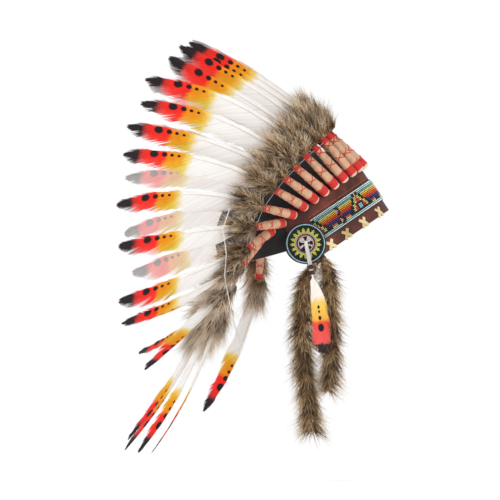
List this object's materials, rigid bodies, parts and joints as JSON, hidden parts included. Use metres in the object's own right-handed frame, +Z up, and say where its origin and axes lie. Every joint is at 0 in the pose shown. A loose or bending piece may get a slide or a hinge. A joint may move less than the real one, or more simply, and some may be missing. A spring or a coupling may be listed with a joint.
{
  "type": "feathered headdress",
  "caption": "Feathered headdress with a felt skullcap, a beaded leather brow band, laced and fur-tufted plumes in a fan, rosettes, drop feathers and hanging fur tails.",
  "frame": {"origin": "middle of the head opening, in the plane of the brow band's lower edge, where the headdress sits on a head", "axes": "+Z up, +X towards the brow, the wearer's right at -Y; the head opening is tilted 34 degrees, brow up, as it is shown"},
  "size_m": [0.3268, 0.5281, 0.5017],
  "materials": {
    "felt": "matte",
    "leather": "satin",
    "beadwork": "gloss",
    "hide": "matte",
    "feather": "satin",
    "nape_plumes": "satin",
    "drop_feather": "satin",
    "fur": "matte"
  },
  "bodies": {
    "root": {"crown_cap": "felt", "brow_band": "leather", "beaded_strip": "beadwork", "rosette_right": "beadwork", "drop_right": "drop_feather", "fur_tails_right": "fur", "rosette_left": "beadwork", "drop_left": "drop_feather", "fur_tails_left": "fur", "wrap_right_1": "hide", "feather_right_1": "feather", "wrap_right_2": "hide", "feather_right_2": "feather", "wrap_right_3": "hide", "feather_right_3": "feather", "wrap_right_4": "hide", "feather_right_4": "feather", "wrap_right_5": "hide", "feather_right_5": "feather", "wrap_right_6": "hide", "feather_right_6": "feather", "wrap_right_7": "hide", "feather_right_7": "feather", "wrap_right_8": "hide", "feather_right_8": "feather", "wrap_right_9": "hide", "feather_right_9": "feather", "wrap_right_10": "hide", "feather_right_10": "feather", "wrap_right_11": "hide", "feather_right_11": "feather", "wrap_right_12": "hide", "feather_right_12": "feather", "wrap_left_1": "hide", "feather_left_1": "feather", "wrap_left_2": "hide", "feather_left_2": "feather", "wrap_left_3": "hide", "feather_left_3": "feather", "wrap_left_4": "hide", "feather_left_4": "feather", "wrap_left_5": "hide", "feather_left_5": "feather", "wrap_left_6": "hide", "feather_left_6": "feather", "wrap_left_7": "hide", "feather_left_7": "feather", "wrap_left_8": "hide", "feather_left_8": "feather", "wrap_left_9": "hide", "feather_left_9": "feather", "wrap_left_10": "hide", "feather_left_10": "feather", "wrap_left_11": "hide", "feather_left_11": "feather", "wrap_left_12": "hide", "feather_left_12": "feather", "nape_plumes_right": "nape_plumes", "nape_plumes_left": "nape_plumes"}
  },
  "joints": []
}
